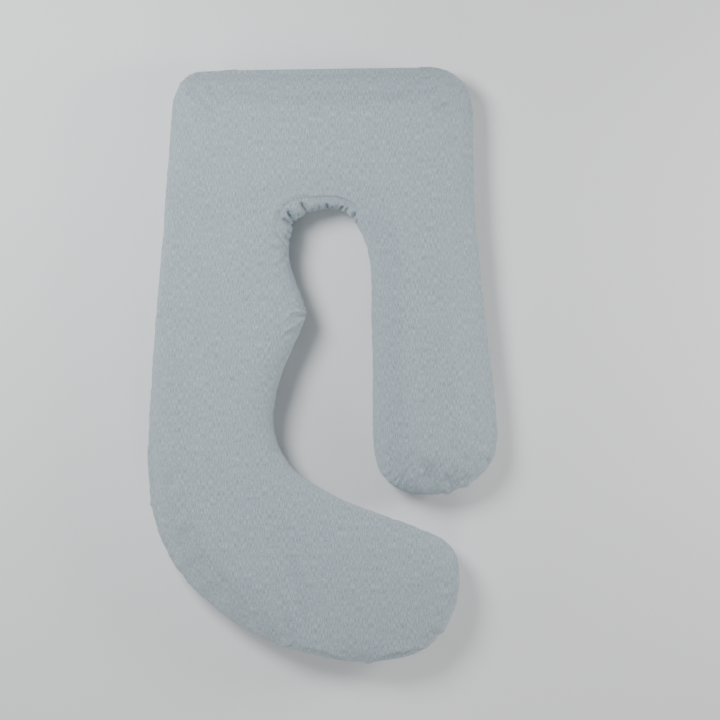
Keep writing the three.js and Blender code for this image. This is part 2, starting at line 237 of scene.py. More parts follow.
form = welded_copy("fibre_fill", "stuffed_form")
remeshed(form, FORM_GRID)
edges = read(form.data, "edges", "vertices", 2, np.int32)
places = relaxed(read(form.data), edges, ROUNDING_PASSES)
write_places(form.data, places)
places = places + FILL_TO_COVER * read(form.data, "vertices", "normal")
places = relaxed(places, edges, EVENING_PASSES)
places[:, 2] = SEAM_HEIGHT + (places[:, 2] - SEAM_HEIGHT) * START_THICKNESS
write_places(form.data, places)

height_off_seam = np.abs(places[:, 2] - seam_level(places))
held = form.vertex_groups.new(name="seam")
held.add(np.flatnonzero(height_off_seam < SEAM_HOLD).tolist(), 1, "REPLACE")
slack = form.vertex_groups.new(name="slack")
slackness = np.clip(1 - height_off_seam / SLACK_REACH, 0, 1)
for step in range(1, SLACK_STEPS + 1):
    band = np.flatnonzero(np.ceil(slackness * SLACK_STEPS) == step)
    slack.add(band.tolist(), step / SLACK_STEPS, "REPLACE")

swell = form.modifiers.new("swell", "CLOTH")
swell.point_cache.frame_start = 1
swell.point_cache.frame_end = SWELL_FRAMES
cloth = swell.settings
cloth.quality = 5
cloth.mass = 0.3
cloth.tension_stiffness = 15
cloth.compression_stiffness = 15
cloth.bending_stiffness = 0.4
cloth.vertex_group_mass = "seam"
cloth.use_pressure = True
cloth.uniform_pressure_force = 4
cloth.vertex_group_shrink = "slack"
cloth.shrink_min = 0
cloth.shrink_max = SEAM_SLACK
cloth.effector_weights.gravity = 0
for swell_frame in range(1, SWELL_FRAMES + 1):
    bpy.context.scene.frame_set(swell_frame)
apply_modifiers(form)
moved = read(form.data) - places
length = np.linalg.norm(moved, axis=1, keepdims=True)
moved *= np.minimum(1, SWELL_LIMIT / np.maximum(length, 1e-9))
places = places + moved
places[:, 2] = np.maximum(places[:, 2], 0)
write_places(form.data, places)
bpy.context.scene.frame_set(1)
form.vertex_groups.clear()

# ---- Fibre fill ----
# Blown hollow polyester fibre, loose inside the liner. It fills the liner to its seams, a little lumpy where
# the tufts bunch up.
FILL_DEPTH = 0.0150
FILL_DEPTH_AT_ARCH = 0.0050
FILL_GRID = 0.010
TUFT_SIZE = 0.045
TUFT_HEIGHT = 0.0020


def drawn_in(name, depth, more_at_arch):
    """A copy of the stuffed form that lies a depth inside it."""
    piece = linked(name, form.data.copy())
    piece.data.name = name
    inside = read(piece.data)
    depths = depth + more_at_arch * seam_climb(inside)
    inside = inside - read(piece.data, "vertices", "normal") * depths[:, None]
    inside = relaxed(inside, read(piece.data, "edges", "vertices", 2, np.int32), EVENING_PASSES)
    write_places(piece.data, inside)
    return piece


def rough(points, cell, seed=0):
    """Smooth noise between -1 and 1 with lumps of about the size of a cell."""
    shift = Vector((seed * 7.3, seed * 3.1, seed * 5.7))
    return np.array([noise.noise(Vector(p) / cell + shift) for p in points.tolist()])


def raise_by(mesh, heights):
    write_places(mesh, read(mesh) + read(mesh, "vertices", "normal") * heights[:, None])


def node_group(name, inputs, outputs):
    group = bpy.data.node_groups.new(name, "ShaderNodeTree")
    for socket_name, kind, value in inputs:
        socket = group.interface.new_socket(socket_name, in_out="INPUT", socket_type=kind)
        socket.default_value = value
    for socket_name, kind in outputs:
        group.interface.new_socket(socket_name, in_out="OUTPUT", socket_type=kind)
    return group, group.nodes.new("NodeGroupInput"), group.nodes.new("NodeGroupOutput")


def node(tree, kind, links=None, **settings):
    """Adds a node with its settings. The links are its sockets' values, or what they are linked to."""
    made = tree.nodes.new(kind)
    for key, value in settings.items():
        setattr(made, key, value)
    for key, value in (links or {}).items():
        if isinstance(value, bpy.types.NodeSocket):
            tree.links.new(value, made.inputs[key])
        else:
            made.inputs[key].default_value = value
    return made


def maths(tree, operation, a, b=0.0, clamp=False):
    return node(tree, "ShaderNodeMath", {0: a, 1: b}, operation=operation, use_clamp=clamp).outputs[0]


def mixed(tree, share, a, b):
    return node(tree, "ShaderNodeMix", {0: share, 6: a, 7: b}, data_type="RGBA").outputs[2]


def noise_at(tree, vector, scale, detail=2.0, roughness=0.5):
    sockets = {"Vector": vector, "Scale": scale, "Detail": detail, "Roughness": roughness}
    return node(tree, "ShaderNodeTexNoise", sockets).outputs["Fac"]


def stretched_place(tree, vector, scale):
    return node(tree, "ShaderNodeMapping", {"Vector": vector, "Scale": scale}).outputs[0]


def object_place(tree):
    return node(tree, "ShaderNodeTexCoord").outputs["Object"]


def bump(tree, height, strength, distance, under=None):
    sockets = {"Height": height, "Strength": strength, "Distance": distance}
    if under:
        sockets["Normal"] = under
    return node(tree, "ShaderNodeBump", sockets).outputs[0]


def finish(name, **constants):
    """A new material, whose constant values go straight to the shader's own sockets."""
    material = bpy.data.materials.new(name)
    material.use_nodes = True
    shader = material.node_tree.nodes["Principled BSDF"]
    for key, value in constants.items():
        shader.inputs[key.replace("_", " ")].default_value = value
    return material, material.node_tree, shader


fibre, tree, shader = finish("hollow_fibre", Roughness=1.0, Specular_IOR_Level=0.15, Sheen_Weight=0.4)
strands = noise_at(tree, stretched_place(tree, object_place(tree), (260, 90, 160)), 1, 5, 0.75)
fibre_colour = mixed(tree, strands, (0.80, 0.80, 0.79, 1), (0.96, 0.96, 0.95, 1))
tree.links.new(fibre_colour, shader.inputs["Base Color"])
tree.links.new(bump(tree, strands, 0.8, 0.003), shader.inputs["Normal"])

fill_tufts = drawn_in("fill_tufts", FILL_DEPTH, FILL_DEPTH_AT_ARCH)
remeshed(fill_tufts, FILL_GRID)
tufts = read(fill_tufts.data)
raise_by(fill_tufts.data, TUFT_HEIGHT * (np.abs(rough(tufts, TUFT_SIZE, 20)) * 2 - 1))
shade_smooth(fill_tufts.data)
fill_tufts.data.materials.append(fibre)
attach(fill_tufts, "pillow")
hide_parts("fibre_fill")

# ---- Liner ----
# A closed bag of thin white spunbond, cut as two panels like the cover and sewn all round. It keeps the fibre
# in when the cover is off for washing.
LINER_DEPTH = 0.0092
LINER_DEPTH_AT_ARCH = 0.0050
LINER_SEAM_GAP = 0.0006
LINER_TURN_IN = 0.0030
LINER_CREASE = 0.0008
LINER_CREASE_SIZE = 0.03
BOND_PITCH = 0.0022

dots, dots_in, dots_out = node_group(
    "bonded_dots",
    [("Place", "NodeSocketVector", (0, 0, 0)), ("Pitch", "NodeSocketFloat", BOND_PITCH)],
    [("Dot", "NodeSocketFloat"), ("Web", "NodeSocketFloat")],
)
per_dot = maths(dots, "DIVIDE", 1.0, dots_in.outputs["Pitch"])
bond_cells = {"Vector": dots_in.outputs["Place"], "Scale": per_dot, "Randomness": 0.15}
bond = node(dots, "ShaderNodeTexVoronoi", bond_cells).outputs["Distance"]
dot = node(dots, "ShaderNodeMapRange", {"Value": bond, 1: 0.22, 2: 0.36, 3: 0.0, 4: 1.0}).outputs[0]
dots.links.new(dot, dots_out.inputs["Dot"])
dots.links.new(noise_at(dots, dots_in.outputs["Place"], 900, 4, 0.7), dots_out.inputs["Web"])

spunbond, tree, shader = finish("spunbond", Roughness=0.8, Specular_IOR_Level=0.3, Sheen_Weight=0.2)
bonds = node(tree, "ShaderNodeGroup", {"Place": object_place(tree)}, node_tree=dots)
cloth_colour = mixed(tree, bonds.outputs["Web"], (0.80, 0.79, 0.76, 1), (0.93, 0.92, 0.90, 1))
tree.links.new(cloth_colour, shader.inputs["Base Color"])
tree.links.new(bump(tree, bonds.outputs["Dot"], 0.6, 0.0003), shader.inputs["Normal"])


def cut_panel(mesh, side, gap, keep):
    """Keeps the part of the mesh on one side of the seam, at the places that a vector attribute holds."""
    bm = bmesh.new()
    bm.from_mesh(mesh)
    bmesh.ops.bisect_plane(
        bm,
        geom=bm.verts[:] + bm.edges[:] + bm.faces[:],
        dist=0.0001,
        plane_co=(0, 0, side * gap),
        plane_no=(0, 0, 1),
        clear_inner=side > 0,
        clear_outer=side < 0,
    )
    shape = bm.verts.layers.float_vector[keep]
    for v in bm.verts:
        v.co = v[shape]
    slivers = [f for f in bm.faces if f.calc_area() < 1e-12]
    bmesh.ops.delete(bm, geom=slivers, context="FACES")
    bm.normal_update()
    return bm


def turn_edge_in(bm, steps, direction_of):
    """Folds the open edge in, in steps of so far along each edge point's own inward direction."""
    for sink in steps:
        rim = [e for e in bm.edges if e.is_boundary]
        made = bmesh.ops.extrude_edge_only(bm, edges=rim)
        for v in made["geom"]:
            if isinstance(v, bmesh.types.BMVert):
                v.co += direction_of(v) * sink
    bm.normal_update()


def keep_as(mesh, name, vectors):
    layer = mesh.attributes.new(name, "FLOAT_VECTOR", "POINT")
    layer.data.foreach_set("vector", vectors.astype(np.float32).ravel())


def liner_panel(name, side):
    piece = drawn_in(name, LINER_DEPTH, LINER_DEPTH_AT_ARCH)
    mesh = piece.data
    raise_by(mesh, LINER_CREASE * rough(read(mesh), LINER_CREASE_SIZE, 22))
    true_places = read(mesh)
    keep_as(mesh, "true_place", true_places)
    keep_as(mesh, "inward", -read(mesh, "vertices", "normal"))
    write_places(mesh, true_places - (0, 0, SEAM_HEIGHT))
    bm = cut_panel(mesh, side, LINER_SEAM_GAP / 2, "true_place")
    inward = bm.verts.layers.float_vector["inward"]
    turn_edge_in(bm, (LINER_TURN_IN,), lambda v: v[inward])
    bm.to_mesh(mesh)
    bm.free()
    shade_smooth(mesh)
    mesh.materials.append(spunbond)
    return piece


liner_top = liner_panel("liner_top", 1)
liner_bottom = liner_panel("liner_bottom", -1)
for panel, node_name in ((liner_top, "liner_top_panel"), (liner_bottom, "liner_bottom_panel")):
    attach(panel, "pillow")
    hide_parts(node_name)

# ---- Wrinkles of the cover ----
# The jersey is soft and a little large for its filling, so it puckers along the seam and creases where the
# pattern turns sharply. Round the neck arch a long edge is sewn to a short one, so it gathers there.
VALLEY_DEPTH = 0.0020
VALLEY_HALF_WIDTH = 0.0042
LIP_HEIGHT = 0.0024
SIDE_RIDGE = 0.0040
PUCKER_DEPTH = 0.0019
PUCKER_REACH = 0.020
PUCKER_SIZE = 0.017
FINE_PUCKER_SIZE = 0.009
LUMP_HEIGHT = 0.0016
LUMP_SIZE = 0.11
CREASE_HEIGHT = 0.0007
CREASE_SIZE = 0.02
CALM_AT_ARCH = 0.8
CALM_REACH = 0.03
OUTWARD_PASSES = 12
ARCH_CENTRE = Vector((ARCH_X, 0.262))

subdivided = form.modifiers.new("smooth", "SUBSURF")
subdivided.levels = 1
subdivided.render_levels = 1
apply_modifiers(form)

# The grid is twice as fine where folds are narrow: round the arch, at the belly point and at the leg's end.
BELLY_POINT = (-0.040, 0.122)
FINE_ZONES = [(BELLY_POINT, 0.085), ((0.255, -0.215), 0.145)]
FINE_ZONE_BELOW_SEAM = 0.02
FINE_ARCH_REACH = 0.175
FINE_ARCH_FROM = 0.235
FINE_ARCH_FLOOR = 0.006
REFINED_PASSES = 2
places = read(form.data)
arch_distance = np.hypot(places[:, 0] - ARCH_CENTRE.x, places[:, 1] - ARCH_CENTRE.y)
fine = (arch_distance < FINE_ARCH_REACH) & (places[:, 1] > FINE_ARCH_FROM) & (places[:, 2] > FINE_ARCH_FLOOR)
for middle, reach in FINE_ZONES:
    in_zone = np.hypot(*(places[:, :2] - middle).T) < reach
    fine |= in_zone & (places[:, 2] > SEAM_HEIGHT - FINE_ZONE_BELOW_SEAM)
bm = bmesh.new()
bm.from_mesh(form.data)
wanted = [e for e in bm.edges if fine[e.verts[0].index] and fine[e.verts[1].index]]
bmesh.ops.subdivide_edges(bm, edges=wanted, cuts=1, use_grid_fill=True)
bm.to_mesh(form.data)
bm.free()

edges = read(form.data, "edges", "vertices", 2, np.int32)
places = relaxed(read(form.data), edges, REFINED_PASSES)
write_places(form.data, places)
outward = relaxed(read(form.data, "vertices", "normal"), edges, OUTWARD_PASSES)
outward /= np.linalg.norm(outward, axis=1, keepdims=True)
off_seam = places[:, 2] - seam_level(places)
climb = seam_climb(places)
flat_places = places * (1, 1, 0)
calm = 1 - CALM_AT_ARCH * climb * np.exp(-np.abs(off_seam) / CALM_REACH)

raised = LUMP_HEIGHT * rough(places, LUMP_SIZE, 1) + 0.5 * LUMP_HEIGHT * rough(places, LUMP_SIZE / 2, 2)
raised += CREASE_HEIGHT * rough(places * (1, 0.35, 1), CREASE_SIZE, 10)
raised *= calm
near_seam = np.exp(-np.abs(off_seam) / PUCKER_REACH)
pucker = rough(flat_places, PUCKER_SIZE, 3) + 0.6 * rough(flat_places, FINE_PUCKER_SIZE, 4)
raised += PUCKER_DEPTH * pucker * near_seam * (1 - climb)
raised -= VALLEY_DEPTH * np.exp(-((off_seam / VALLEY_HALF_WIDTH) ** 2))

# A lip stands up along the top panel's side of the climbing seam. Along the leg's side and the sole the seam
# also lies on a low, broad ridge.
LIP_ABOVE = 0.0045
LIP_HALF_WIDTH = 0.003
RIDGE_ABOVE = 0.003
RIDGE_HALF_WIDTH = 0.014
side = side_climb(places)
raised += LIP_HEIGHT * (climb + side) * np.exp(-(((off_seam - LIP_ABOVE) / LIP_HALF_WIDTH) ** 2))
raised += SIDE_RIDGE * side * np.exp(-(((off_seam - RIDGE_ABOVE) / RIDGE_HALF_WIDTH) ** 2))

# Gathers: narrow folds run down the wall from the seam round the arch. Each has its bearing and half width in
# degrees about the arch's centre, its depth, and how far below the seam it starts.
FOLDS = [
    (183, 3.5, 0.0030, 0.006),
    (171, 3.0, 0.0040, 0.010),
    (160, 3.0, 0.0080, 0.006),
    (151, 2.0, 0.0050, 0.014),
    (144, 2.4, 0.0130, 0.000),
    (134, 2.4, 0.0130, 0.002),
    (127, 1.8, 0.0040, 0.018),
    (119, 2.8, 0.0120, 0.000),
    (109, 2.0, 0.0050, 0.018),
    (101, 2.6, 0.0035, 0.010),
    (93, 2.3, 0.0120, 0.010),
    (86, 2.0, 0.0040, 0.016),
    (79, 3.0, 0.0040, 0.008),
    (71, 2.1, 0.0120, 0.010),
    (64, 2.6, 0.0055, 0.006),
    (56, 2.1, 0.0100, 0.004),
    (48, 2.2, 0.0050, 0.008),
    (39, 2.6, 0.0040, 0.008),
    (28, 3.0, 0.0030, 0.010),
    (15, 3.5, 0.0022, 0.010),
]
FOLD_RUN = 0.014
FOLD_END = 0.095
FOLD_FADE = 0.035
FOLD_LEAN = 90
PUFF = 0.0030
PUFF_RUN = 0.02
PINCH = 0.55
PINCH_BELOW = 0.046
PINCH_HALF_WIDTH = 0.009
WALL_RIPPLE = 0.0008
WALL_RIPPLE_SIZE = 0.012
WALL_RIPPLE_RUN = 0.01
below = -off_seam
bearing = np.degrees(np.arctan2(places[:, 1] - ARCH_CENTRE.y, places[:, 0] - ARCH_CENTRE.x)) % 360
folded = np.zeros(len(places))
for middle, half_width, depth, start in FOLDS:
    lean = FOLD_LEAN * below * math.sin(middle)
    across = (bearing - middle - lean) / half_width
    folded = np.maximum(folded, depth * np.exp(-(across**2)) * smooth_step(start, start + FOLD_RUN, below))
pinched = 1 - PINCH * np.exp(-(((below - PINCH_BELOW) / PINCH_HALF_WIDTH) ** 2))
fading = climb * smooth_step(FOLD_END, FOLD_END - FOLD_FADE, below)
raised += fading * (PUFF * smooth_step(0, PUFF_RUN, below) - folded * pinched)
ripple = WALL_RIPPLE * rough(flat_places, WALL_RIPPLE_SIZE, 12)
raised += fading * ripple * smooth_step(0, WALL_RIPPLE_RUN, below)

# Creases: each is a bent line of places, with its height and half width. A negative height is a furrow.
CREASES = [
    ([(-0.043, 0.1215), (-0.060, 0.124), (-0.074, 0.121), (-0.084, 0.110), (-0.097, 0.096)], 0.0042, 0.0034),
    ([(-0.044, 0.109), (-0.059, 0.097), (-0.080, 0.082), (-0.091, 0.072), (-0.106, 0.060)], 0.0040, 0.0032),
    ([(-0.043, 0.131), (-0.058, 0.140), (-0.066, 0.150)], 0.0026, 0.0032),
    ([(-0.047, 0.115), (-0.066, 0.109), (-0.080, 0.098)], -0.0032, 0.0038),
    ([(-0.050, 0.096), (-0.070, 0.074), (-0.090, 0.056)], -0.0026, 0.0038),
    ([(-0.110, 0.358), (-0.150, 0.338), (-0.200, 0.328)], 0.0016, 0.0070),
    ([(0.108, 0.300), (0.150, 0.318), (0.190, 0.322)], 0.0012, 0.0070),
    ([(0.345, 0.386), (0.322, 0.412), (0.300, 0.428)], 0.0020, 0.0040),
    ([(0.352, 0.404), (0.334, 0.424), (0.316, 0.436)], -0.0018, 0.0040),
    ([(0.292, -0.654), (0.258, -0.628), (0.222, -0.612)], -0.0034, 0.0060),
    ([(0.300, -0.640), (0.268, -0.612), (0.236, -0.596)], 0.0024, 0.0060),
    ([(0.317, -0.500), (0.292, -0.528), (0.256, -0.552)], 0.0028, 0.0060),
    ([(0.318, -0.518), (0.296, -0.544), (0.268, -0.566)], -0.0020, 0.0060),
    ([(0.314, -0.556), (0.290, -0.580), (0.262, -0.596)], 0.0018, 0.0060),
]


def crease_height(points, line, width):
    """1 along the middle of a line, falling to nothing at its sides and its far end."""
    line = np.array(line, np.float32)
    best = np.zeros(len(points), np.float32)
    total = len(line) - 1
    for i in range(total):
        start, step = line[i], line[i + 1] - line[i]
        along = np.clip((points - start) @ step / (step @ step), 0, 1)
        apart = np.linalg.norm(points - start - along[:, None] * step, axis=1)
        fade = 1 - ((i + along) / total) ** 2
        best = np.maximum(best, fade * np.exp(-((apart / width) ** 2)))
    return best


UPPER_FROM = -0.01
UPPER_FULL = 0.02
upper = smooth_step(UPPER_FROM, UPPER_FULL, off_seam)
for line, height, width in CREASES:
    raised += height * upper * crease_height(places[:, :2], line, width)

# Strokes: fine parallel wrinkles. Each patch has its middle, its half sizes, the bearing that they run in,
# their spacing and their height.
STROKES = [
    ((-0.125, 0.200), (0.085, 0.100), 40, 0.0100, 0.0032),
    ((0.250, -0.250), (0.150, 0.075), 62, 0.0085, 0.0036),
    ((0.350, -0.190), (0.060, 0.090), 50, 0.0090, 0.0024),
    ((0.285, -0.560), (0.070, 0.110), 40, 0.0120, 0.0026),
    ((-0.290, 0.640), (0.070, 0.045), 84, 0.0100, 0.0020),
    ((0.300, 0.650), (0.080, 0.060), 20, 0.0120, 0.0020),
    ((0.320, 0.400), (0.070, 0.080), 140, 0.0110, 0.0022),
    ((-0.110, 0.020), (0.060, 0.090), 52, 0.0100, 0.0022),
    ((0.060, -0.640), (0.200, 0.050), 80, 0.0120, 0.0022),
]
PATCH_EDGE = 0.02
STROKE_STRETCH = 0.22
for number, (middle, reach, run, spacing, height) in enumerate(STROKES):
    away = (places[:, :2] - middle) / reach
    patch = np.exp(-((away**2).sum(axis=1) ** 1.5)) * upper
    run = math.radians(run)
    turned = places[:, :2] @ np.array([[math.sin(run), math.cos(run)], [-math.cos(run), math.sin(run)]])
    strokes = np.column_stack([turned[:, 0], turned[:, 1] * STROKE_STRETCH, places[:, 2] * 0.3])
    seen = patch > PATCH_EDGE
    raised[seen] += height * patch[seen] * rough(strokes[seen], spacing, 30 + number)

# Pulls: the seam allowance bunches up inside and pushes small corners out along the seam.
# The belly point is the largest, where both panels come to a corner.
SMALL_PULL = (0.0045, 0.009, 0.016)
PULLS = [
    ((0.296, -0.303), SMALL_PULL),
    ((0.213, -0.305), SMALL_PULL),
    ((0.340, -0.287), SMALL_PULL),
    ((0.104, -0.698), SMALL_PULL),
    ((0.318, -0.513), SMALL_PULL),
    ((-0.412, -0.330), SMALL_PULL),
    (BELLY_POINT, (0.0025, 0.014, 0.040)),
]
for pull, (push, reach, rise) in PULLS:
    apart = np.hypot(*(places[:, :2] - pull).T)
    raised += push * np.exp(-((apart / reach) ** 2)) * np.exp(-((off_seam / rise) ** 2))

cloth_before = places
places = places + outward * raised[:, None]

# Along the zip the wall is drawn in, so that the two lips of its mouth lie level with the coil.
MOUTH_HALF = 0.0065
DRAWN_REACH = 0.026
LIP_PLACE = 0.0026
MOUTH_END_CLOSED = 0.2250
MOUTH_END_OPEN = 0.2192
DRAWN_END = (0.250, 0.225)
HEAD_WALL_DEPTH = 0.06
HEAD_WALL_FROM = 0.6
upper_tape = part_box("zip_tape_upper")
lower_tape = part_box("zip_tape_lower")
ZIP_MIDDLE = (upper_tape[1] + lower_tape[0]) / 2
zip_axis = Vector(frame["joints"][0]["axis"]).normalized()
zip_outward = Vector((-zip_axis.y, zip_axis.x, 0))


def along_zip(points):
    """How far each point is from the zip's middle, along the zip."""
    return np.abs((points - np.array(ZIP_MIDDLE)) @ np.array(zip_axis))


out_of_zip = (places - np.array(ZIP_MIDDLE)) @ np.array(zip_outward)
drawn = smooth_step(DRAWN_REACH, MOUTH_HALF, np.abs(off_seam)) * smooth_step(*DRAWN_END, along_zip(places))
drawn *= out_of_zip > -HEAD_WALL_DEPTH
places += drawn[:, None] * (LIP_PLACE - out_of_zip)[:, None] * np.array(zip_outward)
places[:, 2] = np.maximum(places[:, 2], 0)

# The place of each point on the cloth before it was sewn: as in plan, and past the shoulder by its length.
SHOULDER_REACH = 0.060
SHOULDER_RUN = 0.0625
EVEN_PASSES = 80
cloth_outward = relaxed(outward, edges, EVEN_PASSES)
over_shoulder = np.arccos(np.clip(np.abs(cloth_before[:, 2] / SEAM_HEIGHT - 1), 0, 1))
extra_run = SHOULDER_RUN * over_shoulder - SHOULDER_REACH * np.sin(over_shoulder)
on_cloth = np.zeros((len(places), 3), np.float32)
on_cloth[:, :2] = cloth_before[:, :2] + cloth_outward[:, :2] * extra_run[:, None]
keep_as(form.data, "cloth_place", on_cloth)
keep_as(form.data, "true_place", places)
keep_as(form.data, "outward", outward)

# ---- Jersey ----
# Cotton and polyester jersey, knitted from a blue-grey yarn in which paler and darker fibres show as short
# slubs along the wales.
slub, slub_in, slub_out = node_group(
    "slub_yarn",
    [
        ("Place", "NodeSocketVector", (0, 0, 0)),
        ("Ground", "NodeSocketColor", (0.4, 0.47, 0.5, 1)),
        ("Pale", "NodeSocketColor", (0.7, 0.76, 0.78, 1)),
        ("Dark", "NodeSocketColor", (0.2, 0.24, 0.28, 1)),
        ("Fleck Amount", "NodeSocketFloat", 0.4),
    ],
    [("Color", "NodeSocketColor"), ("Fleck", "NodeSocketFloat")],
)
long_flecks = noise_at(slub, stretched_place(slub, slub_in.outputs["Place"], (560, 75, 560)), 1, 2, 0.6)
fine_flecks = noise_at(slub, stretched_place(slub, slub_in.outputs["Place"], (1400, 260, 1400)), 1, 2, 0.6)
cloudy = noise_at(slub, stretched_place(slub, slub_in.outputs["Place"], (40, 14, 40)), 1, 3, 0.55)
long_part = maths(slub, "MULTIPLY", long_flecks, 0.6)
fleck = maths(slub, "ADD", long_part, maths(slub, "MULTIPLY", fine_flecks, 0.4))
fleck = maths(slub, "MULTIPLY", maths(slub, "SUBTRACT", fleck, 0.5), 3.8)
fleck = maths(slub, "ADD", fleck, 0.5, clamp=True)
fleck = maths(slub, "ADD", maths(slub, "MULTIPLY", cloudy, 0.12), maths(slub, "MULTIPLY", fleck, 0.88))
pale_ramp = node(slub, "ShaderNodeMapRange", {"Value": fleck, 1: 0.5, 2: 0.85, 3: 0.0, 4: 1.0}).outputs[0]
dark_ramp = node(slub, "ShaderNodeMapRange", {"Value": fleck, 1: 0.5, 2: 0.15, 3: 0.0, 4: 1.0}).outputs[0]
pale_share = maths(slub, "MULTIPLY", pale_ramp, slub_in.outputs["Fleck Amount"])
dark_share = maths(slub, "MULTIPLY", dark_ramp, slub_in.outputs["Fleck Amount"])
paler = mixed(slub, pale_share, slub_in.outputs["Ground"], slub_in.outputs["Pale"])
slub.links.new(mixed(slub, dark_share, paler, slub_in.outputs["Dark"]), slub_out.inputs["Color"])
slub.links.new(fleck, slub_out.inputs["Fleck"])

# Stitches: columns of small V-shaped loops. Their height also gives a painted shade, darker in the gaps
# between the loops and lighter on their tops.
WALE = 0.0014
COURSE = 0.0011
knit, knit_in, knit_out = node_group(
    "knit_loops",
    [("Place", "NodeSocketVector", (0, 0, 0)), ("Gauge", "NodeSocketFloat", 1.0)],
    [("Height", "NodeSocketFloat"), ("Shade", "NodeSocketColor")],
)
split = node(knit, "ShaderNodeSeparateXYZ", {0: knit_in.outputs["Place"]})
across = maths(knit, "MULTIPLY", maths(knit, "DIVIDE", split.outputs["X"], WALE), knit_in.outputs["Gauge"])
up = maths(knit, "MULTIPLY", maths(knit, "DIVIDE", split.outputs["Y"], COURSE), knit_in.outputs["Gauge"])
wale = maths(knit, "ABSOLUTE", maths(knit, "SINE", maths(knit, "MULTIPLY", across, math.pi)))
slant = maths(knit, "MULTIPLY", maths(knit, "PINGPONG", across, 0.5), 1.3)
loop = maths(knit, "SINE", maths(knit, "MULTIPLY", maths(knit, "ADD", up, slant), 2 * math.pi))
loop = maths(knit, "ADD", maths(knit, "MULTIPLY", loop, 0.25), 0.75)
stitch = maths(knit, "MULTIPLY", wale, loop)
knit.links.new(stitch, knit_out.inputs["Height"])
# Painted shade and painted highlight: the colour is darkened in the gaps between the loops and lightened on
# their tops.
knit.links.new(mixed(knit, stitch, (0.72, 0.74, 0.76, 1), (1.12, 1.12, 1.12, 1)), knit_out.inputs["Shade"])

jersey, tree, shader = finish(
    "heathered_jersey",
    Roughness=0.92,
    Specular_IOR_Level=0.25,
    Sheen_Weight=0.30,
    Sheen_Roughness=0.45,
)
place = node(tree, "ShaderNodeAttribute", attribute_name="cloth_place").outputs["Vector"]
yarn = node(
    tree,
    "ShaderNodeGroup",
    {
        "Place": place,
        "Ground": (0.440, 0.525, 0.572, 1),
        "Pale": (0.76, 0.84, 0.87, 1),
        "Dark": (0.21, 0.265, 0.32, 1),
        "Fleck Amount": 0.58,
    },
    node_tree=slub,
)
loops = node(tree, "ShaderNodeGroup", {"Place": place}, node_tree=knit)
# The yarn's colour is multiplied by the loops' painted shade.
knitted = node(
    tree,
    "ShaderNodeMix",
    {0: 1.0, 6: yarn.outputs["Color"], 7: loops.outputs["Shade"]},
    data_type="RGBA",
    blend_type="MULTIPLY",
)
tree.links.new(knitted.outputs[2], shader.inputs["Base Color"])
loop_bump = bump(tree, loops.outputs["Height"], 0.7, 0.0006)
tree.links.new(bump(tree, yarn.outputs["Fleck"], 0.5, 0.0005, loop_bump), shader.inputs["Normal"])

# ---- Cover panels ----
# Two cut panels of the jersey, the top one ending at the seam all round and the bottom one starting there.
# Their edges turn in, and along the head edge they stand apart to leave the zip's mouth.
SEAM_GAP = 0.0002
TURN_IN = (0.0008, 0.0018)
TURN_LEAN = 0.12


def cover_panel(name, side):
    mesh = form.data.copy()
    mesh.name = name
    opened = smooth_step(MOUTH_END_CLOSED, MOUTH_END_OPEN, along_zip(places))
    opened *= places[:, 1] > HEAD_WALL_FROM
    half_gap = SEAM_GAP / 2 + (MOUTH_HALF - SEAM_GAP / 2) * opened
    cutting = places.copy()
    cutting[:, 2] = off_seam - side * half_gap
    write_places(mesh, cutting)
    bm = cut_panel(mesh, side, 0, "true_place")
    surface = bm.verts.layers.float_vector["outward"]
    lean = Vector((0, 0, -side * TURN_LEAN))
    turn_edge_in(bm, TURN_IN, lambda v: lean - v[surface].normalized())
    bm.to_mesh(mesh)
    bm.free()
    for layer in ("true_place", "outward"):
        mesh.attributes.remove(mesh.attributes[layer])
    shade_smooth(mesh)
    mesh.materials.append(jersey)
    return linked(name, mesh)


cover_top = cover_panel("cover_top", 1)
cover_bottom = cover_panel("cover_bottom", -1)
for panel, node_name in ((cover_top, "cover_top_panel"), (cover_bottom, "cover_bottom_panel")):
    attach(panel, "pillow")
    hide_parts(node_name)
bpy.data.objects.remove(form)

# ---- Topstitching ----
# Two rows of lockstitch, in polyester thread that matches the cloth. Each runs along one lip of the mouth and
# holds it to its zip tape.
STITCH = 0.0030
STITCH_GAP = 0.0006
THREAD_RADIUS = 0.00032
STITCH_INSET = 0.0024
MOUTH_STITCHED = 0.2200

thread, tree, shader = finish("thread", Roughness=0.6, Sheen_Weight=0.1)
twist = noise_at(tree, object_place(tree), 1500, 2, 0.6)
tree.links.new(mixed(tree, twist, (0.36, 0.43, 0.47, 1), (0.50, 0.57, 0.61, 1)), shader.inputs["Base Color"])
tree.links.new(bump(tree, twist, 0.5, 0.0002), shader.inputs["Normal"])


def stitch_row(name, ends, radius, material):
    """One small spindle of thread for each pair of ends."""
    spindle = bmesh.new()
    bmesh.ops.create_uvsphere(spindle, u_segments=6, v_segments=5, radius=1)
    shape = bpy.data.meshes.new("spindle")
    spindle.to_mesh(shape)
    spindle.free()
    bm = bmesh.new()
    for start, end in ends:
        count = len(bm.verts)
        bm.from_mesh(shape)
        run = end - start
        size = Matrix.Diagonal((radius, radius, run.length / 2, 1))
        turn = run.to_track_quat("Z", "Y").to_matrix().to_4x4()
        bm.verts.ensure_lookup_table()
        middle = Matrix.Translation((start + end) / 2)
        bmesh.ops.transform(bm, matrix=middle @ turn @ size, verts=bm.verts[count:])
    mesh = bpy.data.meshes.new(name)
    bm.to_mesh(mesh)
    bm.free()
    bpy.data.meshes.remove(shape)
    shade_smooth(mesh)
    mesh.materials.append(material)
    return linked(name, mesh)


def on_wall(panel, along, height):
    """The point of a cover panel's head wall at a place along the zip and a height, or None."""
    start = ZIP_MIDDLE + zip_axis * along + zip_outward * HEAD_WALL_DEPTH
    start.z = height
    found, point, _, _ = panel.ray_cast(start, -zip_outward)
    return point if found else None


